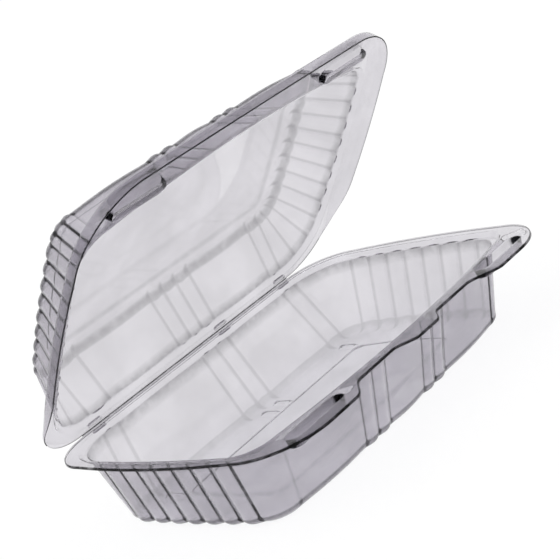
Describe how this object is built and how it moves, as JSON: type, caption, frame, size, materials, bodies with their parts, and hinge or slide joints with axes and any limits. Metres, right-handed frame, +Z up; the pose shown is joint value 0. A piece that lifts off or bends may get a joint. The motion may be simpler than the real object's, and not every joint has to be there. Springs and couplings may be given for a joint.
{
  "type": "hinged clamshell pack",
  "caption": "Clear hinged plastic food pack, half open: a fluted rectangular tray and a fluted lid on one long fold, with bar snaps in the front corners.",
  "frame": {"origin": "under the middle of the open pack, on the surface it stands on", "axes": "+X along the fold, +Y from the snap side towards the fold, +Z up"},
  "size_m": [0.2338, 0.1712, 0.1634],
  "materials": {
    "tray_sheet": "clear gloss",
    "lid_sheet": "clear gloss"
  },
  "bodies": {
    "tray": {"base_tray": "tray_sheet"},
    "lid": {"lid": "lid_sheet"}
  },
  "joints": [
    {"name": "lid_fold", "type": "hinge", "parent": "tray", "child": "lid", "pos_m": [0, 0.08241, 0.0421], "axis": [-1, 0, 0], "range_deg": [-45, 130]}
  ]
}
